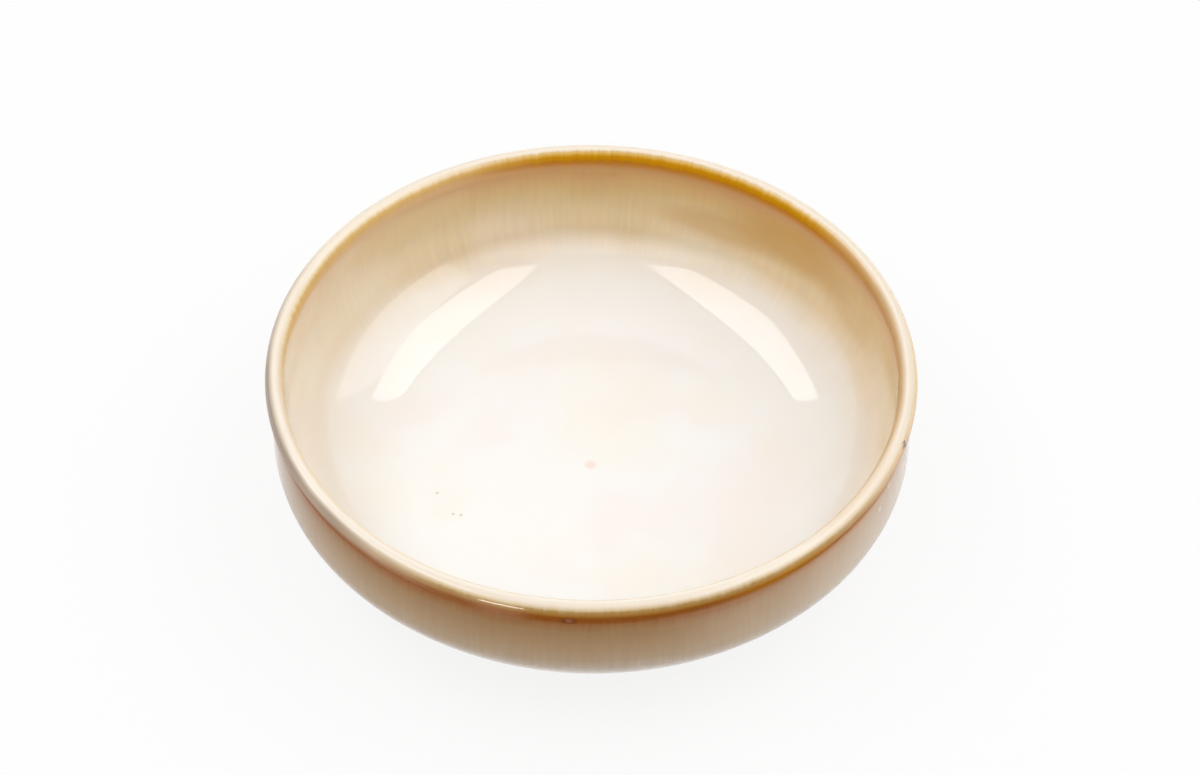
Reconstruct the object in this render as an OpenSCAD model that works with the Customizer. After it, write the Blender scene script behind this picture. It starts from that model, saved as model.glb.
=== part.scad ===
// Deep coupe plate in glazed stoneware: a flat well that rounds up into an upright wall,
// a rolled lip with a hollow under it outside, and a turned foot ring with a bare bearing face.
// The clay is one fired piece, and each glaze coat lies face to face on it.
// Millimetres, +Z up. The origin is on the table, under the centre of the plate.

/* [Overall] */
// Diameter over the lip
plate_d = 200; // [140:1:300]
// Height from the table to the top of the lip
plate_h = 56; // [48:0.5:90]

/* [Wall and lip] */
// Thickness of the upright wall
wall_t = 4.5; // [3:0.1:7]
// How far the rolled lip stands out from the wall, outside
lip_overhang = 1.2; // [0.5:0.1:3]
// Radius of the hollow between the lip and the wall, outside
cove_r = 2.5; // [1:0.1:5]

/* [Well] */
// Thickness of the floor
floor_t = 4.6; // [3:0.1:8]
// Distance from the edge of the flat floor out to the wall
well_run = 37.3; // [31:0.1:60]
// Height from the floor to where the wall stands upright, inside
well_rise = 29.4; // [25:0.1:36]
// Radius of the turn into the upright wall, inside
well_turn_r = 23; // [10:0.5:27]

/* [Underside] */
// Radius of the turn into the upright wall, outside
belly_turn_r = 11; // [4:0.5:20]
// How much lower that turn lies outside than inside
turn_drop = 5.8; // [0:0.2:10]
// Width of level glazed underside between the bare clay and the rise of the belly
level_w = 1.2; // [0.2:0.1:8]

/* [Foot ring] */
// Width of the foot ring
foot_w = 5; // [3:0.1:9]
// Height of the foot ring under the base
foot_h = 2.6; // [1.6:0.1:6]
// Bevel on both edges of the bearing face
foot_bevel = 0.9; // [0.2:0.1:1.4]

/* [Glaze] */
// Thickness of a glaze coat
glaze_t = 0.5; // [0.3:0.05:0.8]
// How far the rim dip reaches below the hollow under the lip
dip_below = 1.2; // [0.4:0.1:6]
// Width of bare clay left on each side of the foot ring
bare_w = 0.8; // [0.2:0.1:3]

/* [Hidden] */
$fn = 180;

// Largest distance between an arc of the section and the straight stretches that draw it
arc_sag = 0.015;

// Radii of the finished surfaces
lip_t = wall_t + lip_overhang;
well_r = plate_d / 2 - lip_t;
wall_r = well_r + wall_t;
floor_r = well_r - well_run;
foot_r = floor_r - level_w - bare_w;
foot_in_r = foot_r - foot_w;

// Heights of the finished surfaces
floor_z = foot_h + floor_t;
belly_rise = floor_t + well_rise - turn_drop;

// Centres of the lip's bead and of the hollow under it, and the angle from one to the other
lip_r = lip_t / 2;
lip_c = [well_r + lip_r, plate_h - lip_r];
cove_run = wall_r + cove_r - lip_c.x;
cove_drop = sqrt((lip_r + cove_r) ^ 2 - cove_run ^ 2);
cove_c = lip_c + [cove_run, -cove_drop];
cove_a = atan2(cove_run, cove_drop);
dip_z = cove_c.y - dip_below;

// Points of a section are [radius, height]. Angles turn from straight down, through outward, to up.
function arc(c, r, from, to) =
    let (steps = ceil(abs(to - from) / (2 * acos(1 - arc_sag / r))))
    [for (i = [0 : steps]) let (a = from + (to - from) * i / steps) c + r * [sin(a), -cos(a)]];

function without_first(points) = [for (i = [1 : len(points) - 1]) points[i]];

function reversed(points) = [for (i = [len(points) - 1 : -1 : 0]) points[i]];

// From the edge of the flat floor at height z to the foot of an upright wall of radius r: an arc that
// leaves the floor level and runs smoothly into the turn, whose centre lies rise above the floor
function rounding(r, z, turn_r, rise) =
    let (
        run = r - turn_r - floor_r,
        arc_r = (run ^ 2 + rise ^ 2 - turn_r ^ 2) / (2 * (rise - turn_r)),
        join_a = atan2(run, arc_r - rise)
    )
    concat(
        arc([floor_r, z + arc_r], arc_r, 0, join_a),
        without_first(arc([r - turn_r, z + rise], turn_r, join_a, 90))
    );

// The rounded surfaces inside and outside, each sunk by depth towards the clay
function well_line(depth) =
    rounding(well_r + depth, floor_z - depth, well_turn_r + depth, well_rise + depth);

function belly_line(depth) =
    rounding(wall_r - depth, foot_h + depth, belly_turn_r - depth, belly_rise - depth);

// The surface of the rim dip, sunk by depth: from the wall outside, through the hollow and
// over the bead by its outermost point and its top, to the wall inside
function lip_line(depth) = concat(
    [[wall_r - depth, dip_z]],
    arc(cove_c, cove_r + depth, -90, cove_a - 180),
    without_first(arc(lip_c, lip_r - depth, cove_a, 90)),
    without_first(arc(lip_c, lip_r - depth, 90, 180)),
    without_first(arc(lip_c, lip_r - depth, 180, 270)),
    [[well_r + depth, dip_z]]
);

// The surface of the coat in the well, from the centre of the floor to the rim dip
function well_coat_line(depth) =
    concat([[0, floor_z - depth]], well_line(depth), [[well_r + depth, dip_z]]);

// The surface of the coat outside, from the bare clay beside the foot ring to the rim dip
function wall_coat_line(depth) =
    concat([[foot_r + bare_w, foot_h + depth]], belly_line(depth), [[wall_r - depth, dip_z]]);

// From the centre of the base, over the foot ring, to the underside beside it
function foot_line(depth) = [
    [0, foot_h + depth],
    [foot_in_r, foot_h + depth],
    [foot_in_r, foot_bevel],
    [foot_in_r + foot_bevel, 0],
    [foot_r - foot_bevel, 0],
    [foot_r, foot_bevel],
    [foot_r, foot_h + depth],
];

// The solid of revolution between a surface and the line under it
module turned(surface, under) {
    rotate_extrude() polygon(concat(surface, reversed(under)));
}

// The fired clay: floor, wall, lip and foot ring in one piece
module stoneware_body() {
    outside = concat(foot_line(glaze_t), belly_line(glaze_t), lip_line(glaze_t));
    inside = concat([[0, floor_z - glaze_t]], well_line(glaze_t));
    color("#cdb897") turned(outside, inside);
}

// The pale coat that lines the well and climbs the wall to the rim dip
module well_glaze() {
    color("#f6ead6") turned(well_coat_line(0), well_coat_line(glaze_t));
}

// The amber coat of the rim dip, over the lip and a little way down both sides
module rim_glaze() {
    color("#b8812c") turned(lip_line(0), lip_line(glaze_t));
}

// The tan coat of the outside, from the rim dip to the bare clay beside the foot ring
module wall_glaze() {
    color("#c2a176") turned(wall_coat_line(0), wall_coat_line(glaze_t));
}

// The coat on the base, inside the foot ring
module base_glaze() {
    color("#d8c39d")
        translate([0, 0, foot_h])
            cylinder(r = foot_in_r - bare_w, h = glaze_t);
}

stoneware_body();
well_glaze();
rim_glaze();
wall_glaze();
base_glaze();
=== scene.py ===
import math
from collections import namedtuple

import bmesh
import bpy
from mathutils import Matrix, Vector, noise


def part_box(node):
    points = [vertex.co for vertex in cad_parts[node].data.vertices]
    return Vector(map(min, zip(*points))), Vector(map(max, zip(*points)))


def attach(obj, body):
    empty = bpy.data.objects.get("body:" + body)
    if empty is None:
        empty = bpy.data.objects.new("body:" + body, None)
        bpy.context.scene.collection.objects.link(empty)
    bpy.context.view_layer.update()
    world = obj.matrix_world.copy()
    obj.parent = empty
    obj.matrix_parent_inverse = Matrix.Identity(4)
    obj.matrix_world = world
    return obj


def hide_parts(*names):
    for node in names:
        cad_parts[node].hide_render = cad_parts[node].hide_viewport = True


# Looks of a deep coupe plate in glazed stoneware. Metres, +Z up, the plate's axis on Z, the viewer at -Y.
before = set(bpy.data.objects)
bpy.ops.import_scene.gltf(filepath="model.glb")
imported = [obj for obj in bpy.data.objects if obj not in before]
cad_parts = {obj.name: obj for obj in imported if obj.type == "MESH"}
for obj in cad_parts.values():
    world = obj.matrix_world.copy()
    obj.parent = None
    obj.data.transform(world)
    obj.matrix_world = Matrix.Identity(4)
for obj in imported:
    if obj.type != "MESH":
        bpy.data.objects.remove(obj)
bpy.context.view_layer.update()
scene = bpy.context.scene

MM = 0.001

# Sizes read off the solids
rim_low, rim_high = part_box("rim_glaze")
well_low, well_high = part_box("well_glaze")
wall_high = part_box("wall_glaze")[1]
base_low, base_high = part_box("base_glaze")
PLATE_R = rim_high.x
PLATE_H = rim_high.z
DIP_Z = rim_low.z
GLAZE_T = base_high.z - base_low.z
FOOT_H = base_low.z
BASE_R = base_high.x
WALL_R = wall_high.x
WELL_R = well_high.x - GLAZE_T
FLOOR_Z = well_low.z + GLAZE_T

# Sizes of the section that the boxes don't give
FLOOR_R = 57 * MM
WELL_TURN_R = 23 * MM
WELL_RISE = 29.4 * MM
BELLY_TURN_R = 11 * MM
BELLY_RISE = 28.2 * MM
COVE_R = 2.5 * MM
FOOT_W = 5 * MM
FOOT_BEVEL = 0.9 * MM
BARE_W = 0.8 * MM

# The foot ring, the lip's bead and the hollow under it
FOOT_IN_R = BASE_R + BARE_W
FOOT_R = FOOT_IN_R + FOOT_W
LIP_R = (PLATE_R - WELL_R) / 2
LIP_C = (WELL_R + LIP_R, PLATE_H - LIP_R)
COVE_RUN = WALL_R + COVE_R - LIP_C[0]
COVE_DROP = math.sqrt((LIP_R + COVE_R) ** 2 - COVE_RUN ** 2)
COVE_C = (LIP_C[0] + COVE_RUN, LIP_C[1] - COVE_DROP)
COVE_A = math.degrees(math.atan2(COVE_RUN, COVE_DROP))

# How finely the surfaces are drawn
SEGMENTS = 256
LONGEST_STEP = 1.5 * MM
WIDEST_TURN = 6
SAME_PLACE = 0.001 * MM
SHARP_ANGLE = math.radians(40)

# How far the hand-made shape departs from a true solid of revolution: it is a little oval, its lip rises and
# falls, its body leans to one side under the lip, and the glaze edges beside the foot ring wander
OUT_OF_ROUND = 0.16 * MM
OVAL_START = 0.7
LIP_WOBBLE = 0.14 * MM
LIP_WAVES = 3
LIP_WAVE_START = 1.9
BODY_LEAN = 0.6 * MM
EDGE_WANDER = 0.25 * MM
EDGE_REACH = 4 * MM
EDGE_BROAD_SCALE = 2.5
EDGE_FINE_SCALE = 9
EDGE_FINE_SHARE = 0.5


# The section: points with the direction that the finished surface faces there
Point = namedtuple("Point", "r z face_r face_z")


def arc(centre, radius, start, end, hollow=False):
    """An arc of the section. Angles are in degrees from straight down, through outward, to up."""
    length = math.radians(abs(end - start)) * radius
    steps = max(2, math.ceil(length / LONGEST_STEP), math.ceil(abs(end - start) / WIDEST_TURN))
    side = -1 if hollow else 1
    points = []
    for i in range(steps + 1):
        angle = math.radians(start + (end - start) * i / steps)
        across, down = math.sin(angle), math.cos(angle)
        points.append(Point(
            centre[0] + radius * across, centre[1] - radius * down, side * across, -side * down,
        ))
    return points


def straight(start, end, face):
    """A straight stretch of the section that faces one way."""
    length = math.dist(start, end)
    steps = max(1, math.ceil(length / (2 * LONGEST_STEP)))
    return [
        Point(
            start[0] + (end[0] - start[0]) * i / steps,
            start[1] + (end[1] - start[1]) * i / steps,
            *face,
        )
        for i in range(steps + 1)
    ]


def rounding(radius, z, turn_r, rise, hollow=False):
    """From the edge of the flat floor at height z to the foot of an upright wall."""
    run = radius - turn_r - FLOOR_R
    arc_r = (run ** 2 + rise ** 2 - turn_r ** 2) / (2 * (rise - turn_r))
    join = math.degrees(math.atan2(run, arc_r - rise))
    return joined(
        arc((FLOOR_R, z + arc_r), arc_r, 0, join, hollow),
        arc((radius - turn_r, z + rise), turn_r, join, 90, hollow),
    )


def joined(*stretches):
    """Stretches of the section in one line, each starting where the one before it ends."""
    line = list(stretches[0])
    for stretch in stretches[1:]:
        line += stretch[1:]
    return line


def sunk(line, depth):
    """The same line, moved into the clay by depth."""
    return [
        Point(p.r - depth * p.face_r, p.z - depth * p.face_z, p.face_r, p.face_z) for p in line
    ]


UP, DOWN, OUT, IN = (0, 1), (0, -1), (1, 0), (-1, 0)


def well_line():
    """From the centre of the floor up to the rim dip."""
    return joined(
        straight((0, FLOOR_Z), (FLOOR_R, FLOOR_Z), UP),
        rounding(WELL_R, FLOOR_Z, WELL_TURN_R, WELL_RISE, hollow=True),
        straight((WELL_R, FLOOR_Z + WELL_RISE), (WELL_R, DIP_Z), IN),
    )


def rim_lines():
    """From the rim dip inside to the top of the lip, and on to the rim dip outside."""
    inner = joined(
        straight((WELL_R, DIP_Z), (WELL_R, LIP_C[1]), IN),
        arc(LIP_C, LIP_R, 270, 180),
    )
    outer = joined(
        arc(LIP_C, LIP_R, 180, COVE_A),
        arc(COVE_C, COVE_R, COVE_A - 180, -90, hollow=True),
        straight((WALL_R, COVE_C[1]), (WALL_R, DIP_Z), OUT),
    )
    return inner, outer


def wall_line():
    """From the rim dip down the outside and under the belly to the bare clay beside the foot ring."""
    edge_r = FOOT_R + BARE_W
    return joined(
        straight((WALL_R, DIP_Z), (WALL_R, FOOT_H + BELLY_RISE), OUT),
        rounding(WALL_R, FOOT_H, BELLY_TURN_R, BELLY_RISE)[::-1],
        straight((FLOOR_R, FOOT_H), (edge_r + GLAZE_T, FOOT_H), DOWN),
        arc((edge_r + GLAZE_T, FOOT_H + GLAZE_T), GLAZE_T, 0, -90),
    )


def base_line():
    """The coat inside the foot ring, from its centre to its rounded edge."""
    return joined(
        straight((0, FOOT_H), (BASE_R - GLAZE_T, FOOT_H), DOWN),
        arc((BASE_R - GLAZE_T, FOOT_H + GLAZE_T), GLAZE_T, 0, 90),
    )


def foot_line():
    """The clay under the plate: from the centre of the base over the rounded foot ring."""
    clay_z = FOOT_H + GLAZE_T
    return (
        straight((0, clay_z), (FOOT_IN_R, clay_z), DOWN)
        + straight((FOOT_IN_R, clay_z), (FOOT_IN_R, FOOT_BEVEL), IN)
        + arc((FOOT_IN_R + FOOT_BEVEL, FOOT_BEVEL), FOOT_BEVEL, -90, 0)[1:]
        + straight((FOOT_IN_R + FOOT_BEVEL, 0), (FOOT_R - FOOT_BEVEL, 0), DOWN)[1:]
        + arc((FOOT_R - FOOT_BEVEL, FOOT_BEVEL), FOOT_BEVEL, 0, 90)[1:]
        + straight((FOOT_R, FOOT_BEVEL), (FOOT_R, clay_z), OUT)[1:]
    )


def distances(line):
    """How far each point lies from the first, along the line."""
    far = [0.0]
    for a, b in zip(line, line[1:]):
        far.append(far[-1] + math.dist(a[:2], b[:2]))
    return far


def smooth_step(low, high, value):
    """From 0 at low to 1 at high, with soft ends."""
    t = min(max((value - low) / (high - low), 0), 1)
    return t * t * (3 - 2 * t)


def placed(point, turn):
    """Where a point of the section comes to lie at an angle round the axis, on the hand-made shape."""
    oval = 0.5 + 0.5 * math.cos(2 * turn + OVAL_START)
    wave = 0.5 + 0.5 * math.cos(LIP_WAVES * turn + LIP_WAVE_START)
    radius = point.r - OUT_OF_ROUND * oval * point.r / PLATE_R
    droop = LIP_WOBBLE * wave * smooth_step(FLOOR_Z, PLATE_H, point.z)
    lean = BODY_LEAN * (1 - smooth_step(FOOT_H, PLATE_H, point.z))
    return Vector((radius * math.cos(turn) + lean, radius * math.sin(turn), point.z - droop))


def ring_noise(turn, scale, seed):
    """Noise from -1 to 1 that closes on itself round the ring."""
    return noise.noise(Vector((scale * math.cos(turn), scale * math.sin(turn), seed)))


def wandering(point, turn, edge_r):
    """The point with its radius shifted where it lies near a glaze edge that wanders round the ring."""
    if edge_r is None:
        return point
    near = 1 - smooth_step(0, EDGE_REACH, abs(point.r - edge_r))
    swing = ring_noise(turn, EDGE_BROAD_SCALE, edge_r / MM)
    swing += EDGE_FINE_SHARE * ring_noise(turn, EDGE_FINE_SCALE, edge_r / MM)
    return point._replace(r=point.r + EDGE_WANDER * near * swing)


def turned(name, section, along, on_axis, edge_r=None):
    """A closed solid of revolution. Each vertex keeps how far along the finished surface it lies."""
    vertices, rings, kept = [], [], []
    last = None
    for point, far in zip(section, along):
        if last and math.dist(point[:2], last[:2]) < SAME_PLACE:
            continue
        last = point
        ring = []
        count = 1 if on_axis and point.r < SAME_PLACE else SEGMENTS
        for i in range(count):
            turn = 2 * math.pi * i / SEGMENTS
            ring.append(len(vertices))
            vertices.append(placed(wandering(point, turn, edge_r), turn))
            kept.append(far)
        rings.append(ring)
    pairs = list(zip(rings, rings[1:]))
    if not on_axis:
        pairs.append((rings[-1], rings[0]))
    faces = []
    for a, b in pairs:
        for i in range(SEGMENTS):
            k = (i + 1) % SEGMENTS
            if len(a) == 1:
                faces.append((a[0], b[k], b[i]))
            elif len(b) == 1:
                faces.append((a[i], a[k], b[0]))
            else:
                faces.append((a[i], a[k], b[k], b[i]))
    mesh = bpy.data.meshes.new(name)
    mesh.from_pydata(vertices, [], faces)
    shaped = bmesh.new()
    shaped.from_mesh(mesh)
    bmesh.ops.recalc_face_normals(shaped, faces=shaped.faces)
    shaped.to_mesh(mesh)
    shaped.free()
    mesh.shade_smooth()
    mesh.set_sharp_from_angle(angle=SHARP_ANGLE)
    mesh.attributes.new("along", "FLOAT", "POINT").data.foreach_set("value", kept)
    piece = bpy.data.objects.new(name, mesh)
    scene.collection.objects.link(piece)
    return piece


def coat(name, line, along, on_axis, edge_r=None):
    """A glaze coat: the finished surface of the line, and the same line sunk to the clay under it."""
    section = line + sunk(line, GLAZE_T)[::-1]
    return turned(name, section, along + along[::-1], on_axis, edge_r)


# Node trees
class Tree:
    """The nodes of one material or of the world, added by short calls."""

    def __init__(self, owner):
        owner.use_nodes = True
        self.tree = owner.node_tree
        self.tree.nodes.clear()

    def add(self, kind, inputs=None, **settings):
        """A node with its options set and its inputs filled by values or by other nodes' outputs."""
        node = self.tree.nodes.new(kind)
        for option, value in settings.items():
            setattr(node, option, value)
        for key, value in (inputs or {}).items():
            self.fill(node.inputs[key], value)
        return node

    def fill(self, socket, value):
        """Links an output to the socket, or sets the socket's own value."""
        if isinstance(value, bpy.types.NodeSocket):
            self.tree.links.new(value, socket)
        else:
            socket.default_value = value

    def math(self, operation, a, b=0.0):
        return self.add("ShaderNodeMath", {0: a, 1: b}, operation=operation).outputs[0]

    def vector(self, operation, a, b=(0, 0, 0)):
        node = self.add("ShaderNodeVectorMath", {0: a, 1: b}, operation=operation)
        return node.outputs["Value" if operation in ("LENGTH", "DOT_PRODUCT") else "Vector"]

    def place(self):
        """The point's place in the row frame."""
        return self.add("ShaderNodeTexCoord").outputs["Object"]

    def along(self):
        """How far the point lies along the finished surface from the top of the lip, inside negative."""
        return self.add("ShaderNodeAttribute", attribute_name="along").outputs["Fac"]

    def noise(self, place, scale, detail=2.0, roughness=0.5):
        inputs = {"Vector": place, "Scale": scale, "Detail": detail, "Roughness": roughness}
        return self.add("ShaderNodeTexNoise", inputs).outputs[0]

    def remap(self, value, low, high, new_low=0.0, new_high=1.0, smooth=False):
        inputs = {0: value, 1: low, 2: high, 3: new_low, 4: new_high}
        kind = "SMOOTHSTEP" if smooth else "LINEAR"
        return self.add("ShaderNodeMapRange", inputs, interpolation_type=kind).outputs[0]

    def mix(self, share, a, b, blend="MIX"):
        node = self.add("ShaderNodeMix", data_type="RGBA", blend_type=blend)
        sockets = {s.identifier: s for s in node.inputs}
        self.fill(sockets["Factor_Float"], share)
        self.fill(sockets["A_Color"], a)
        self.fill(sockets["B_Color"], b)
        return next(s for s in node.outputs if s.identifier == "Result_Color")

    def blend(self, share, a, b):
        """A value between two others."""
        return self.remap(share, 0.0, 1.0, a, b)

    def ramp(self, value, stops):
        """A run of colours over stops of (value, colour), in rising order."""
        first, last = stops[0][0], stops[-1][0]
        node = self.add("ShaderNodeValToRGB", {0: self.remap(value, first, last)})
        colours = node.color_ramp
        while len(colours.elements) < len(stops):
            colours.elements.new(1.0)
        for element, (at, colour) in zip(colours.elements, stops):
            element.position = (at - first) / (last - first)
            element.color = colour
        return node.outputs["Color"]

    def output(self, kind, surface):
        self.add(kind, {"Surface": surface})


def display(red, green, blue):
    """A colour in 0 to 255 display values, as the linear colour that nodes take."""
    def linear(value):
        share = value / 255
        return share / 12.92 if share <= 0.04045 else ((share + 0.055) / 1.055) ** 2.4
    return (linear(red), linear(green), linear(blue), 1.0)


# Colours of the glaze, with painted shade, sheen and highlights among them
CREAM = display(247, 247, 246)
CREAM_EDGE = display(251, 248, 242)
BUFF = display(250, 241, 228)
SAND = display(245, 227, 200)
WHEAT = display(236, 212, 172)
TAN = display(231, 205, 157)
TAN_HIGH = display(220, 187, 124)
TAN_DEEP = display(218, 178, 118)
CLAY_BROWN = display(212, 164, 106)
PALE_SAND = display(251, 240, 223)
PALE_TAN = display(248, 230, 202)
CARAMEL = display(208, 150, 86)
RUSSET = display(206, 138, 58)
AMBER_DEEP = display(202, 132, 34)
AMBER = display(211, 148, 14)
AMBER_PALE = display(228, 184, 92)
LIP_CREAM = display(249, 235, 216)
LIP_BUFF = display(246, 228, 202)
LIP_GOLD = display(228, 198, 145)
PALE_LIP = display(243, 229, 208)
PALE_GOLD = display(252, 226, 184)
GOLD_LOW = display(232, 193, 143)
GOLD_BAND = display(233, 194, 124)
GOLD_PALE = display(243, 219, 174)
GOLD_CREAM = display(248, 231, 201)
EDGE_BROWN = display(204, 152, 92)
EDGE_TAN = display(212, 175, 130)
EDGE_SAND = display(226, 198, 162)
EDGE_CREAM = display(240, 218, 190)
# Painted shade: the outside of the lip on the left, greyer and darker
SHADED_LIMB_SAND = display(224, 208, 188)
SHADED_LIMB_GREY = display(206, 190, 170)
SHADED_LIMB_BROWN = display(172, 154, 136)
GOLD = display(192, 148, 78)
OCHRE = display(188, 134, 41)
RUST = display(168, 98, 38)
UMBER = display(174, 112, 62)
WALL_BROWN = display(180, 138, 88)
WALL_TAN = display(188, 150, 103)
BELLY_TOP = display(196, 166, 129)
# Painted sheen: a paler, greyer band where the belly turns under
BELLY_SHEEN = display(222, 205, 187)
BELLY = display(214, 190, 160)
BASE_TAN = display(202, 172, 135)
# Painted shade under the lip on the left
SHADED_COVE = display(190, 148, 118)
PALE_COVE = display(222, 174, 137)
PALE_FLANK = display(248, 210, 168)
PALE_SIDE = display(222, 188, 156)
PALE_BELLY = display(228, 206, 180)
# Painted sheen: a paler, greyer band where the belly turns under, where the dip is thin
PALE_BELLY_SHEEN = display(230, 215, 199)
# Painted shade: the wall outside on the left, darker and greyer
SHADED_LEFT_SIDE = display(190, 156, 130)
SHADED_LEFT_BELLY = display(182, 160, 139)
GOLDEN = display(206, 158, 76)
PINK = display(250, 234, 225)
STRAW = display(250, 243, 224)
SPECK = display(196, 188, 176)
ROSE = display(244, 216, 203)
# The blister's pink core, partly painted highlight
BLISTER = display(184, 118, 94)
BLISTER_RING = display(132, 74, 40)
GREY_MARK = display(120, 104, 104)
# Painted highlights on the wall at the right
GLINT_PALE = display(246, 226, 206)
BARE_CLAY = display(206, 186, 156)

# Where the colours change, in distance along the surface from the top of the lip, for the stretches of the
# plate where the rim dip ran thick and amber, for those where it is thin and pale, and for the painted shade
# on the left side
WELL_AMBER = [
    (-72 * MM, CREAM),
    (-50 * MM, CREAM_EDGE),
    (-42 * MM, BUFF),
    (-37 * MM, SAND),
    (-33 * MM, WHEAT),
    (-26 * MM, TAN),
    (-17 * MM, TAN_HIGH),
    (-13 * MM, TAN_DEEP),
    (-9 * MM, CLAY_BROWN),
]
WELL_PALE = [
    (-72 * MM, CREAM),
    (-50 * MM, CREAM_EDGE),
    (-38 * MM, PALE_SAND),
    (-9 * MM, PALE_TAN),
]
RIM_AMBER = [
    (-9 * MM, CLAY_BROWN),
    (-7.6 * MM, CARAMEL),
    (-6.2 * MM, RUSSET),
    (-5 * MM, AMBER_DEEP),
    (-4 * MM, AMBER),
    (-3 * MM, AMBER),
    (-1.9 * MM, AMBER_PALE),
    (-1.3 * MM, LIP_GOLD),
    (-0.9 * MM, LIP_BUFF),
    (-0.4 * MM, LIP_CREAM),
    (1.1 * MM, LIP_CREAM),
    (1.6 * MM, LIP_BUFF),
    (2.6 * MM, LIP_GOLD),
    (3.2 * MM, GOLD),
    (3.8 * MM, OCHRE),
    (5.5 * MM, RUST),
    (8.2 * MM, RUST),
    (9.3 * MM, UMBER),
]
RIM_BROWN = [
    (-9 * MM, CLAY_BROWN),
    (-6 * MM, EDGE_BROWN),
    (-4.4 * MM, EDGE_BROWN),
    (-2.3 * MM, EDGE_TAN),
    (-1.5 * MM, EDGE_SAND),
    (-0.9 * MM, EDGE_CREAM),
    (-0.3 * MM, LIP_CREAM),
    (0.4 * MM, LIP_CREAM),
    # From here outward, painted shade on the outside of the lip on the left
    (1.1 * MM, SHADED_LIMB_SAND),
    (1.5 * MM, SHADED_LIMB_GREY),
    (2.2 * MM, SHADED_LIMB_BROWN),
    (7.5 * MM, SHADED_COVE),
    (9.3 * MM, SHADED_COVE),
]
RIM_GOLD = [
    (-9 * MM, GOLD_LOW),
    (-5.3 * MM, GOLD_LOW),
    (-4 * MM, GOLD_BAND),
    (-3.1 * MM, GOLD_BAND),
    (-2.3 * MM, GOLD_PALE),
    (-1.5 * MM, GOLD_CREAM),
    (-0.9 * MM, LIP_CREAM),
    (9.3 * MM, LIP_CREAM),
]
RIM_PALE = [
    (-9 * MM, PALE_TAN),
    (-1.6 * MM, PALE_TAN),
    (-0.7 * MM, BUFF),
    (-0.2 * MM, BUFF),
    (0.4 * MM, PALE_LIP),
    (1.4 * MM, PALE_LIP),
    (2.2 * MM, PALE_GOLD),
    (3.2 * MM, PALE_FLANK),
    (4.8 * MM, PALE_COVE),
    (9.3 * MM, PALE_COVE),
]
WALL_AMBER = [
    (9.3 * MM, UMBER),
    (13 * MM, WALL_BROWN),
    (20 * MM, WALL_TAN),
    (26 * MM, BELLY_TOP),
    # Painted sheen where the belly turns under
    (32 * MM, BELLY_SHEEN),
    (45 * MM, BELLY),
    (80 * MM, BELLY),
]
# Painted shade down the wall outside on the left
WALL_LEFT_SHADE = [
    (9.3 * MM, SHADED_COVE),
    (11 * MM, SHADED_LEFT_SIDE),
    (26 * MM, SHADED_LEFT_BELLY),
    (45 * MM, BELLY),
    (80 * MM, BELLY),
]
WALL_PALE = [
    (9.3 * MM, PALE_COVE),
    (11 * MM, PALE_SIDE),
    (26 * MM, PALE_BELLY),
    # Painted sheen where the belly turns under
    (32 * MM, PALE_BELLY_SHEEN),
    (45 * MM, PALE_BELLY),
    (80 * MM, BELLY),
]

# The way in which a run of colour lies, and how far that way it turns from none to full: the browner well,
# the brown, the gold and the amber inside the lip, the amber outside it, the painted shade on the left side,
# and the brown of the wall outside
WELL_DIP = (Vector((0.45, 0.89, 0)), -0.7, 0.9)
EDGE_DIP = (Vector((0.3, 0.95, 0)), -0.75, 0.15)
GOLD_DIP = (Vector((-0.77, 0.64, 0)), 0.62, 0.85)
AMBER_DIP = (Vector((0.31, 0.95, 0)), 0.5, 0.95)
OUTER_DIP = (Vector((0.2, -0.98, 0)), 0.4, 0.95)
# Painted shade on the left side
LEFT_SHADE = (Vector((-0.95, -0.31, 0)), 0.55, 1.0)
WALL_DIP = (Vector((-0.34, -0.94, 0)), 0.2, 0.95)

# Soft spots of another colour, with their places and half sizes in millimetres. A spot is full in its core,
# which is a share of its size, and fades from there
Spot = namedtuple("Spot", "colour strength place size")
SPOT_CORE = 0.3

# A paler stretch of the upright wall inside, across both coats
PALE_STRETCH = Spot(TAN, 0.5, (-62, 71, 43.5), (32, 28, 9))

# Golden clouds on the wall of the well at the back right
GOLDEN_CLOUDS = [
    Spot(GOLDEN, 0.85, (64, 69, 38.5), (34, 32, 12)),
    Spot(GOLDEN, 0.6, (42, 83, 33), (34, 22, 8)),
    Spot(GOLDEN, 0.4, (82, 46, 35), (16, 28, 13)),
    Spot(GOLDEN, 0.16, (92, 8, 39), (12, 32, 12)),
]

# A pink dot in the middle of the floor, and three specks on its left
PINK_DOT = Spot(ROSE, 0.55, (0, 2.4, 7.2), (2.6, 2.6, 2))
SPECKS = [
    Spot(SPECK, 0.6, place, (0.7, 0.8, 2))
    for place in ((-47.8, -10.5, 7.2), (-42.5, -19.2, 7.2), (-40, -19.6, 7.2))
]

# Amber under the lip at the right front, and painted shade above it that dulls the top of the lip to a
# darker cream
FRONT_AMBER = [
    Spot(AMBER_DEEP, 0.7, (58, -80, 51.3), (34, 26, 3.4)),
    Spot(AMBER, 0.4, (64, -77, 53.2), (22, 20, 2.0)),
]
SHADED_LIP_TOP = Spot(EDGE_CREAM, 0.6, (81, -53, 56), (30, 32, 1.4))

# A blister under the lip at the front, dark round its edge, its pink core partly a painted highlight
BLISTER_PLACE = (-5.4, -98.8, 50.2)
BLISTER_SPOTS = [
    Spot(BLISTER_RING, 0.85, BLISTER_PLACE, (3.4, 2.6, 3.2)),
    Spot(BLISTER, 0.75, BLISTER_PLACE, (1.6, 1.8, 1.8)),
]

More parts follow.
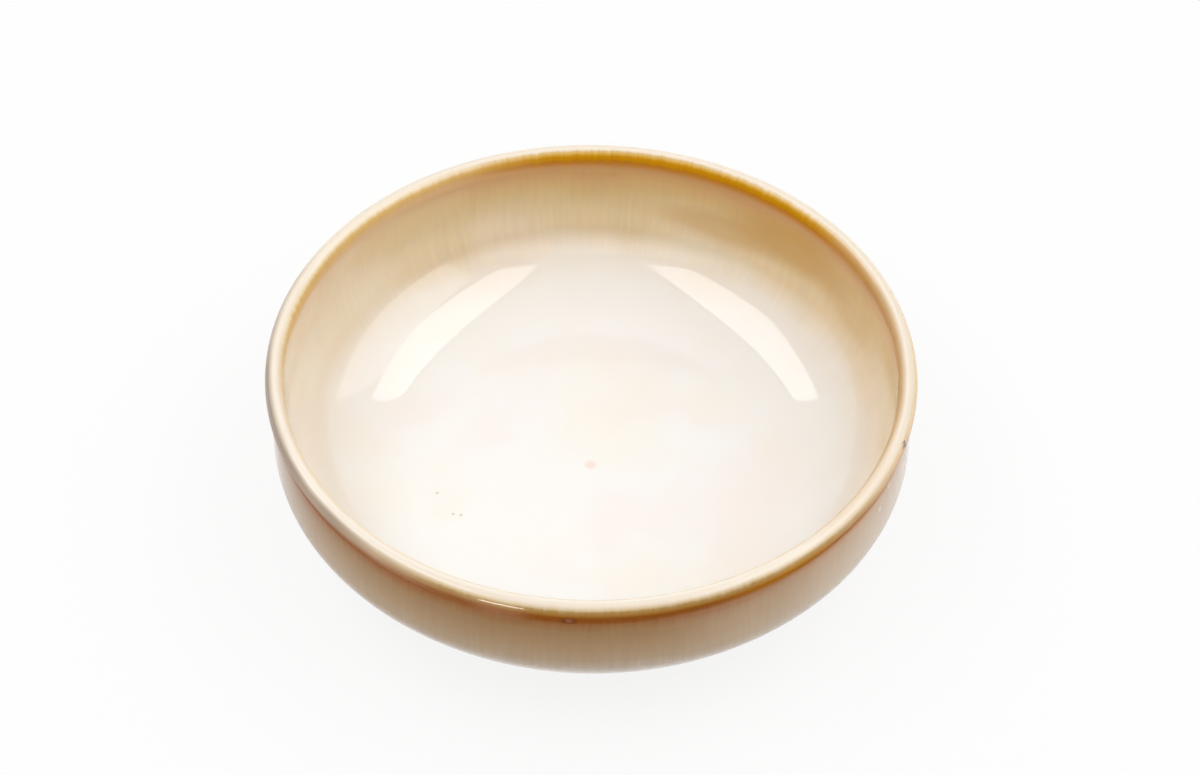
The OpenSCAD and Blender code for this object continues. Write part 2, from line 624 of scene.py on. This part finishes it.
# Grey marks on the lip and on the wall at the right, and beside them two pale spots of painted highlight
LIP_MARK = Spot(GREY_MARK, 0.85, (94.8, -30.8, 54.1), (3, 3.5, 1.6))
WALL_MARK = Spot(GREY_MARK, 0.85, (95.7, -24.4, 43.2), (3, 3.6, 2.8))
PAINTED_GLINTS = [
    Spot(GLINT_PALE, 0.7, place, (1.2, 1.2, 1.8))
    for place in ((90.1, -40.5, 46.5), (87.3, -46.2, 42))
]

# A stretch outside the lip that the dip left thin
THIN_PLACE = (-26, -94.5, 52)
THIN_SIZE = (14, 9, 6)
THIN_SHARE = 0.3

# Noise in the glaze: streaks drawn out up the wall, broad clouds, and the patches of a broken mark
STREAK_SCALE = 650
STREAK_DETAIL = 4
STREAK_ROUGHNESS = 0.6
STREAK_RISE = 0.1
STREAK_SPAN = (0.25, 0.75)
CLOUD_SCALE = 34
CLOUD_ON_DIP = 0.12
SWING_SPAN = (0.2, 0.8)
BREAK_SCALE = 800
BREAK_SPAN = (0.4, 0.56)

# Surface of the glaze: a broad swell and a fine peel on it
GLAZE_IOR = 1.5
SWELL_SCALE = 55
SWELL_DETAIL = 1
PEEL_SCALE = 420
PEEL_SHARE = 0.05
PEEL_SPAN = (0.3, 0.7)
PEEL_DEPTH = 0.02 * MM
ROUGHNESS_SWING = 0.2

# The well's coat: how far streaks and clouds shift its colours, the stretch over which streaks set in up the
# side, the pink and straw patches of its floor, and the gloss that fades up the wall
WELL_STREAK_THIN = 0.2 * MM
WELL_STREAK_THICK = 1.2 * MM
WELL_CLOUD = 2.5 * MM
WELL_STREAKS_IN = (-50 * MM, -35 * MM)
WELL_SHADE = 0.06
PATCH_SCALE = 28
PATCH_SPAN = (0.45, 0.75)
PATCH_SHARE = 0.35
PATCHES_OUT = (-35 * MM, -15 * MM)
STRAW_OFFSET = (0.3, 0.1, 0)
WELL_GLOSS = 0.8
INNER_WALL_GLOSS = 0.25
WELL_GLOSS_OUT = (-22 * MM, -11 * MM)
WELL_ROUGHNESS = 0.04

# The rim's coat: the stretches over which one run of colour gives way to the next, how far streaks and
# clouds shift its colours, and the gloss, which only the top of the lip has in full
OVER_TOP = (-0.5 * MM, 0.5 * MM)
WELL_TO_EDGE = (-6 * MM, -1.2 * MM)
LIP_TO_WALL = (7.5 * MM, 9.3 * MM)
DIP_STARTS = (-8.8 * MM, -5.6 * MM)
RIM_STREAKS_SHRINK = (-5 * MM, -3.5 * MM)
RIM_STREAK_LOW = 0.9 * MM
RIM_STREAK_HIGH = 0.4 * MM
RIM_CLOUD = 0.3 * MM
RIM_SHADE = 0.05
OFF_TOP = (1.2 * MM, 2.4 * MM)
LIP_GLOSS = 0.75
WALL_GLOSS_OUT = (-9 * MM, -5 * MM)
LIP_GLOSS_IN = (-2.6 * MM, -0.9 * MM)
LIP_GLOSS_OUT = (2.5 * MM, 5 * MM)
RIM_ROUGHNESS = 0.05

# The coat of the wall outside, glossier down to the belly
WALL_STREAK = 1.0 * MM
WALL_CLOUD = 2 * MM
WALL_SHADE = 0.02
OUTER_WALL_GLOSS = 0.1
BELLY_GLOSS = 0.5
BELLY_GLOSS_IN = (9 * MM, 24 * MM)
WALL_ROUGHNESS = 0.06

# The coat of the base
BASE_GLOSS = 0.5
BASE_ROUGHNESS = 0.1

# The bare clay: a fine grain that shades and roughens it, and darker patches
GRAIN_SCALE = 900
GRAIN_DETAIL = 4
GRAIN_ROUGHNESS = 0.7
GRAIN_SPAN = (0.3, 0.7)
GRAIN_SHADE = (0.85, 1.08)
GRAIN_BUMP = 0.6
GRAIN_DEPTH = 0.1 * MM
CLAY_ROUGHNESS = (0.75, 0.9)
STAIN_SCALE = 60
STAIN_SPAN = (0.4, 0.7)
STAIN_SHARE = 0.35


class Glaze(Tree):
    """A glossy coat whose colour runs along the section, drawn out into faint streaks and clouds."""

    def __init__(self, name):
        self.material = bpy.data.materials.new(name)
        super().__init__(self.material)
        self.where = self.place()
        self.far = self.along()
        outward = self.vector("NORMALIZE", self.vector("MULTIPLY", self.where, (1, 1, 0)))
        around = self.vector("MULTIPLY", outward, (PLATE_R, PLATE_R, PLATE_R))
        rising = self.vector("MULTIPLY", self.where, (0, 0, STREAK_RISE))
        drawn_out = self.vector("ADD", around, rising)
        self.streaks = self.noise(drawn_out, STREAK_SCALE, STREAK_DETAIL, STREAK_ROUGHNESS)
        self.clouds = self.noise(self.where, CLOUD_SCALE)

    def swing(self, noise_value, reach):
        """Noise as a shift to either side, by up to about reach."""
        return self.remap(noise_value, *SWING_SPAN, -reach, reach)

    def thickness(self, dip):
        """How thick the rim dip ran, from 0 to 1, uneven like a poured glaze; with the left side's spread,
        how much painted shade lies there.
        """
        way, thin, thick = dip
        toward = self.vector("DOT_PRODUCT", self.where, way / PLATE_R)
        uneven = self.math("ADD", toward, self.swing(self.clouds, CLOUD_ON_DIP))
        return self.remap(uneven, thin, thick, smooth=True)

    def thinned(self, thickness):
        """The same, less on the stretch that the dip left thin."""
        left = self.remap(self.near(THIN_PLACE, THIN_SIZE), 0, 1, 1, 1 - THIN_SHARE)
        return self.math("MULTIPLY", thickness, left)

    def run(self, streak_reach, cloud_reach, pale, *layers):
        """Colours along the section: the pale run, and over it each (share, run) in turn."""
        streak = self.math("MULTIPLY", self.swing(self.streaks, 1.0), streak_reach)
        far = self.math("ADD", self.far, self.math("ADD", streak, self.swing(self.clouds, cloud_reach)))
        self.colour = self.ramp(far, pale)
        for share, stops in layers:
            self.tint(share, self.ramp(far, stops))

    def shade(self, depth, share=1.0):
        """Streaks a little darker and lighter than the run of colour."""
        streaks = self.remap(self.streaks, *STREAK_SPAN, 1 - depth, 1 + depth)
        self.colour = self.mix(share, self.colour, streaks, "MULTIPLY")

    def tint(self, share, colour):
        self.colour = self.mix(share, self.colour, colour)

    def near(self, place, size):
        """1 at a place in millimetres, falling softly to 0 at the half sizes given along the axes."""
        offset = self.vector("SUBTRACT", self.where, Vector(place) * MM)
        scaled = self.vector("MULTIPLY", offset, [1 / (c * MM) for c in size])
        return self.remap(self.vector("LENGTH", scaled), SPOT_CORE, 1.0, 1.0, 0.0, smooth=True)

    def spot(self, spot, share=1.0):
        """A soft spot of another colour, or only a share of it."""
        strength = self.math("MULTIPLY", self.near(spot.place, spot.size), spot.strength)
        self.tint(self.math("MULTIPLY", strength, share), spot.colour)

    def broken(self):
        """A share that breaks up into small patches."""
        return self.remap(self.noise(self.where, BREAK_SCALE), *BREAK_SPAN, smooth=True)

    def finish(self, specular, roughness):
        """The gloss: a clear smooth surface with the faint unevenness of a fired glaze."""
        swell = self.noise(self.where, SWELL_SCALE, SWELL_DETAIL)
        peel = self.noise(self.where, PEEL_SCALE)
        height = self.math("ADD", self.math("MULTIPLY", peel, PEEL_SHARE), swell)
        bump = self.add("ShaderNodeBump", {"Height": height, "Strength": 1.0, "Distance": PEEL_DEPTH})
        smoothest, roughest = roughness * (1 - ROUGHNESS_SWING), roughness * (1 + ROUGHNESS_SWING)
        shader = self.add("ShaderNodeBsdfPrincipled", {
            "Base Color": self.colour,
            "Roughness": self.remap(peel, *PEEL_SPAN, smoothest, roughest),
            "IOR": GLAZE_IOR,
            "Specular IOR Level": specular,
            "Normal": bump.outputs[0],
        })
        self.output("ShaderNodeOutputMaterial", shader.outputs[0])
        return self.material


def well_material():
    """Cream on the floor, in faint patches, and browner up the wall, most at the back."""
    glaze = Glaze("well_glaze")
    thick = glaze.thickness(WELL_DIP)
    streak_reach = glaze.blend(thick, WELL_STREAK_THIN, WELL_STREAK_THICK)
    glaze.run(streak_reach, WELL_CLOUD, WELL_PALE, (thick, WELL_AMBER))
    upper = glaze.remap(glaze.far, *WELL_STREAKS_IN, smooth=True)
    glaze.shade(WELL_SHADE, glaze.math("MULTIPLY", thick, upper))
    low = glaze.remap(glaze.far, *PATCHES_OUT, PATCH_SHARE, 0.0, smooth=True)
    beside = glaze.vector("ADD", glaze.where, STRAW_OFFSET)
    for colour, place in ((PINK, glaze.where), (STRAW, beside)):
        patches = glaze.remap(glaze.noise(place, PATCH_SCALE), *PATCH_SPAN, smooth=True)
        glaze.tint(glaze.math("MULTIPLY", patches, low), colour)
    for spot in (*GOLDEN_CLOUDS, PALE_STRETCH, PINK_DOT, *SPECKS):
        glaze.spot(spot)
    gloss = glaze.remap(glaze.far, *WELL_GLOSS_OUT, WELL_GLOSS, INNER_WALL_GLOSS, smooth=True)
    return glaze.finish(gloss, WELL_ROUGHNESS)


def rim_material():
    """Cream on the top of the lip, with amber, gold and brown beside it where the rim dip ran thick, and
    painted shade outside the lip on the left.
    """
    glaze = Glaze("rim_glaze")
    over_top = glaze.remap(glaze.far, *OVER_TOP)
    to_edge = glaze.remap(glaze.far, *WELL_TO_EDGE)
    brown = glaze.blend(to_edge, glaze.thickness(WELL_DIP), glaze.thickness(EDGE_DIP))
    # Outside the top of the lip, the brown run is painted shade on the left side
    brown = glaze.blend(over_top, brown, glaze.thickness(LEFT_SHADE))
    to_wall = glaze.remap(glaze.far, *LIP_TO_WALL)
    outer = glaze.blend(to_wall, glaze.thickness(OUTER_DIP), glaze.thickness(WALL_DIP))
    dipped = glaze.remap(glaze.far, *DIP_STARTS, smooth=True)
    gold = glaze.blend(over_top, glaze.math("MULTIPLY", glaze.thickness(GOLD_DIP), dipped), 0.0)
    inner = glaze.math("MULTIPLY", glaze.thickness(AMBER_DIP), dipped)
    amber = glaze.blend(over_top, inner, glaze.thinned(outer))
    streaky = glaze.math("MAXIMUM", gold, amber)
    streak_reach = glaze.remap(glaze.far, *RIM_STREAKS_SHRINK, RIM_STREAK_LOW, RIM_STREAK_HIGH)
    streak_reach = glaze.math("MULTIPLY", streaky, streak_reach)
    glaze.run(streak_reach, RIM_CLOUD, RIM_PALE, (brown, RIM_BROWN), (gold, RIM_GOLD), (amber, RIM_AMBER))
    off_top = glaze.remap(glaze.math("ABSOLUTE", glaze.far), *OFF_TOP, smooth=True)
    glaze.shade(RIM_SHADE, glaze.math("MULTIPLY", streaky, off_top))
    glaze.spot(PALE_STRETCH)
    for spot in FRONT_AMBER:
        glaze.spot(spot, over_top)
    # Painted shade on the top of the lip at the right front, and the blister
    for spot in (SHADED_LIP_TOP, *BLISTER_SPOTS):
        glaze.spot(spot)
    glaze.spot(LIP_MARK, glaze.broken())
    gloss_wall = glaze.remap(glaze.far, *WALL_GLOSS_OUT, INNER_WALL_GLOSS, 0.0)
    gloss_in = glaze.remap(glaze.far, *LIP_GLOSS_IN, 0.0, LIP_GLOSS, smooth=True)
    gloss_out = glaze.remap(glaze.far, *LIP_GLOSS_OUT, LIP_GLOSS, 0.0, smooth=True)
    gloss = glaze.math("MINIMUM", glaze.math("MAXIMUM", gloss_wall, gloss_in), gloss_out)
    return glaze.finish(gloss, RIM_ROUGHNESS)


def wall_material():
    """Tan down the outside, browner at the front, with painted shade that makes it greyer and darker on the
    left, painted sheen where the belly turns under, and painted highlights at the right.
    """
    glaze = Glaze("wall_glaze")
    # Painted shade on the left side of the wall
    left_shade = glaze.thickness(LEFT_SHADE)
    brown = glaze.thinned(glaze.thickness(WALL_DIP))
    glaze.run(WALL_STREAK, WALL_CLOUD, WALL_PALE, (left_shade, WALL_LEFT_SHADE), (brown, WALL_AMBER))
    glaze.shade(WALL_SHADE)
    glaze.spot(WALL_MARK, glaze.broken())
    # Painted highlights beside the grey mark
    for spot in PAINTED_GLINTS:
        glaze.spot(spot)
    gloss = glaze.remap(glaze.far, *BELLY_GLOSS_IN, OUTER_WALL_GLOSS, BELLY_GLOSS, smooth=True)
    return glaze.finish(gloss, WALL_ROUGHNESS)


def base_material():
    """One even tan inside the foot ring, between those of the wall and the belly."""
    glaze = Glaze("base_glaze")
    glaze.colour = BASE_TAN
    return glaze.finish(BASE_GLOSS, BASE_ROUGHNESS)


def clay_material():
    """Bare fired clay, matt and finely grained."""
    material = bpy.data.materials.new("stoneware")
    tree = Tree(material)
    place = tree.place()
    grain = tree.noise(place, GRAIN_SCALE, GRAIN_DETAIL, GRAIN_ROUGHNESS)
    stains = tree.remap(tree.noise(place, STAIN_SCALE), *STAIN_SPAN, 0.0, STAIN_SHARE)
    shade = tree.remap(grain, *GRAIN_SPAN, *GRAIN_SHADE)
    colour = tree.mix(1.0, BARE_CLAY, shade, "MULTIPLY")
    colour = tree.mix(stains, colour, UMBER)
    bump = tree.add("ShaderNodeBump", {"Height": grain, "Strength": GRAIN_BUMP, "Distance": GRAIN_DEPTH})
    shader = tree.add("ShaderNodeBsdfPrincipled", {
        "Base Color": colour,
        "Roughness": tree.remap(grain, *GRAIN_SPAN, *CLAY_ROUGHNESS),
        "Normal": bump.outputs[0],
    })
    tree.output("ShaderNodeOutputMaterial", shader.outputs[0])
    return material


def dress(piece, node, material):
    """Gives a piece its finish, and lets it stand for its solid on the plate's one body."""
    piece.data.materials.append(material)
    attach(piece, "root")
    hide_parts(node)


def build_plate():
    """The clay and its four coats, which share one section."""
    well = well_line()
    rim_in, rim_out = rim_lines()
    rim = joined(rim_in, rim_out)
    wall = wall_line()
    base = base_line()
    lip_top = distances(rim_in)[-1]
    rim_along = [far - lip_top for far in distances(rim)]
    well_along = [rim_along[0] - distances(well)[-1] + far for far in distances(well)]
    wall_along = [rim_along[-1] + far for far in distances(wall)]
    clay = joined(
        foot_line() + sunk(wall, GLAZE_T)[::-1],
        sunk(rim, GLAZE_T)[::-1],
        sunk(well, GLAZE_T)[::-1],
    )
    body = turned("stoneware", clay, [0.0] * len(clay), True)
    dress(body, "stoneware_body", clay_material())
    dress(coat("well_coat", well, well_along, True), "well_glaze", well_material())
    dress(coat("rim_coat", rim, rim_along, False), "rim_glaze", rim_material())
    wall_coat = coat("wall_coat", wall, wall_along, False, FOOT_R + BARE_W)
    dress(wall_coat, "wall_glaze", wall_material())
    base_coat = coat("base_coat", base, distances(base), True, BASE_R)
    dress(base_coat, "base_glaze", base_material())


# The camera, which looks down on the plate from the front
CAMERA_PLACE = Vector((2.7, -835.6, 914.5)) * MM
CAMERA_PITCH = math.radians(46.14)
CAMERA_ROLL = math.radians(0.81)
CAMERA_LENS = 117.5
SENSOR_W = 36

# The floor: grey to the light that falls on it, and where it is seen, pale with a faint shadow
FLOOR_HALF = 6.0
FLOOR_GREY = 0.8
FLOOR_SHADE = 0.16
FLOOR_GLOW = 0.86

# Level softboxes on both sides, by their corners in millimetres at one height
SOFTBOX_Z = 900 * MM
LEFT_LIGHT = 2.85
RIGHT_LIGHT = 2.55
LEFT_SOFTBOX = [(-263, -511), (-520, -545), (-831, -29), (-817, 600), (-421, 568), (-355, 115)]
RIGHT_SOFTBOX = [(273, -489), (502, -482), (683, 78), (678, 618), (295, 593), (303, 150)]

# A pale card that stands to the right of the plate
CARD_X = 900 * MM
CARD_HALF = 600 * MM
CARD_BOTTOM = 470 * MM
CARD_TOP = 1200 * MM
CARD_LIGHT = 1.55

# A small strip low in front of the plate, to the left, that only shows in the glaze
STRIP = [(-165, -306), (-98, -334)]
STRIP_BOTTOM = 8 * MM
STRIP_TOP = 50 * MM
STRIP_LIGHT = 16

# The tent round the table: dim near the table and pale above it, with its back open near the table
TENT_HALF = 2.0
TENT_TOP = 2.4
TENT_GAP = 0.6
TENT_SLANT = (-0.15, 0.3, 1)
TENT_DIM_Z = 0.1
TENT_PALE_Z = 1.0
TENT_DIM = 0.1
TENT_PALE = 0.665

# The tent's front, palest high up behind the camera
FRONT_SLANT = (0, 0, 1)
FRONT_DIM_Z = 0.7
FRONT_PALE_Z = 2.0
FRONT_PALE = 1.2

# The surroundings: dim as light, white where they are seen
WORLD_LIGHT = 0.3
WHITE = (1, 1, 1, 1)


def make_camera():
    data = bpy.data.cameras.new("camera")
    data.sensor_width = SENSOR_W
    data.lens = CAMERA_LENS
    camera = bpy.data.objects.new("camera", data)
    scene.collection.objects.link(camera)
    ahead = Vector((0, math.cos(CAMERA_PITCH), -math.sin(CAMERA_PITCH)))
    level = Vector((1, 0, 0))
    above = level.cross(ahead)
    right = math.cos(CAMERA_ROLL) * level + math.sin(CAMERA_ROLL) * above
    up = math.cos(CAMERA_ROLL) * above - math.sin(CAMERA_ROLL) * level
    turn = Matrix((right, up, -ahead)).transposed()
    camera.matrix_world = Matrix.Translation(CAMERA_PLACE) @ turn.to_4x4()
    scene.camera = camera


def upright(start, end, low, high):
    """Corners of an upright panel over the line from start to end."""
    return [(*start, low), (*end, low), (*end, high), (*start, high)]


def level_square(half, z):
    """Corners of a level square round the plate's axis."""
    return [(-half, -half, z), (half, -half, z), (half, half, z), (-half, half, z)]


def stage_panel(name, corners, material):
    """A flat panel of the studio, which isn't part of the plate."""
    mesh = bpy.data.meshes.new(name)
    mesh.from_pydata(corners, [], [tuple(range(len(corners)))])
    mesh.materials.append(material)
    panel = bpy.data.objects.new(name, mesh)
    scene.collection.objects.link(panel)
    return panel


def seen_directly(tree):
    """1 for rays from the camera and for those that a mirror or glass sends on, else 0."""
    path = tree.add("ShaderNodeLightPath").outputs
    seen = tree.math("MAXIMUM", path["Is Camera Ray"], path["Is Glossy Ray"])
    return tree.math("MAXIMUM", seen, path["Is Transmission Ray"])


def make_floor():
    material = bpy.data.materials.new("floor")
    tree = Tree(material)
    grey = (FLOOR_GREY, FLOOR_GREY, FLOOR_GREY, 1)
    shade = FLOOR_GREY * FLOOR_SHADE
    lit = tree.add("ShaderNodeBsdfDiffuse", {"Color": grey}).outputs[0]
    dim = tree.add("ShaderNodeBsdfDiffuse", {"Color": (shade, shade, shade, 1)}).outputs[0]
    glow = tree.add("ShaderNodeEmission", {"Strength": FLOOR_GLOW}).outputs[0]
    pale = tree.add("ShaderNodeAddShader", {0: dim, 1: glow}).outputs[0]
    mixed = tree.add("ShaderNodeMixShader", {0: seen_directly(tree), 1: lit, 2: pale}).outputs[0]
    tree.output("ShaderNodeOutputMaterial", mixed)
    stage_panel("floor", level_square(FLOOR_HALF, 0), material)


def glowing(name, strength):
    """A surface that gives off an even white light."""
    material = bpy.data.materials.new(name)
    tree = Tree(material)
    light = tree.add("ShaderNodeEmission", {"Strength": strength}).outputs[0]
    tree.output("ShaderNodeOutputMaterial", light)
    return material


def unseen_panel(name, corners, material):
    """A panel that lights and shows in the glaze, but not to the camera."""
    panel = stage_panel(name, corners, material)
    panel.visible_camera = False
    return panel


def make_lights():
    softboxes = (("left_softbox", LEFT_SOFTBOX, LEFT_LIGHT), ("right_softbox", RIGHT_SOFTBOX, RIGHT_LIGHT))
    for name, corners, strength in softboxes:
        level = [(x * MM, y * MM, SOFTBOX_Z) for x, y in corners]
        unseen_panel(name, level, glowing(name, strength))
    strip_ends = [(x * MM, y * MM) for x, y in STRIP]
    strip_corners = upright(*strip_ends, STRIP_BOTTOM, STRIP_TOP)
    strip = unseen_panel("front_strip", strip_corners, glowing("front_strip", STRIP_LIGHT))
    strip.visible_diffuse = False
    card_corners = upright((CARD_X, -CARD_HALF), (CARD_X, CARD_HALF), CARD_BOTTOM, CARD_TOP)
    unseen_panel("right_card", card_corners, glowing("right_card", CARD_LIGHT))


def tent_cloth(name, slant, dim_z, pale_z, pale):
    """Glowing cloth, dim near the table and pale higher up."""
    material = bpy.data.materials.new(name)
    tree = Tree(material)
    height = tree.vector("DOT_PRODUCT", tree.place(), slant)
    strength = tree.remap(height, dim_z, pale_z, TENT_DIM, pale, smooth=True)
    light = tree.add("ShaderNodeEmission", {"Strength": strength}).outputs[0]
    tree.output("ShaderNodeOutputMaterial", light)
    return material


def make_tent():
    cloth = tent_cloth("tent", TENT_SLANT, TENT_DIM_Z, TENT_PALE_Z, TENT_PALE)
    front = tent_cloth("tent_front", FRONT_SLANT, FRONT_DIM_Z, FRONT_PALE_Z, FRONT_PALE)
    near, far = -TENT_HALF, TENT_HALF
    left, right = -TENT_HALF, TENT_HALF
    unseen_panel("tent_front", upright((left, near), (right, near), 0, TENT_TOP), front)
    unseen_panel("tent_back", upright((left, far), (right, far), TENT_GAP, TENT_TOP), cloth)
    unseen_panel("tent_left", upright((left, near), (left, far), 0, TENT_TOP), cloth)
    unseen_panel("tent_right", upright((right, near), (right, far), 0, TENT_TOP), cloth)
    unseen_panel("tent_top", level_square(TENT_HALF, TENT_TOP), cloth)


def make_world():
    world = bpy.data.worlds.new("studio")
    scene.world = world
    tree = Tree(world)
    light = tree.add("ShaderNodeBackground", {"Color": WHITE, "Strength": WORLD_LIGHT}).outputs[0]
    white = tree.add("ShaderNodeBackground", {"Color": WHITE, "Strength": 1.0}).outputs[0]
    mixed = tree.add("ShaderNodeMixShader", {0: seen_directly(tree), 1: light, 2: white}).outputs[0]
    tree.output("ShaderNodeOutputWorld", mixed)


build_plate()
make_camera()
make_floor()
make_lights()
make_tent()
make_world()
scene.view_settings.view_transform = "Standard"
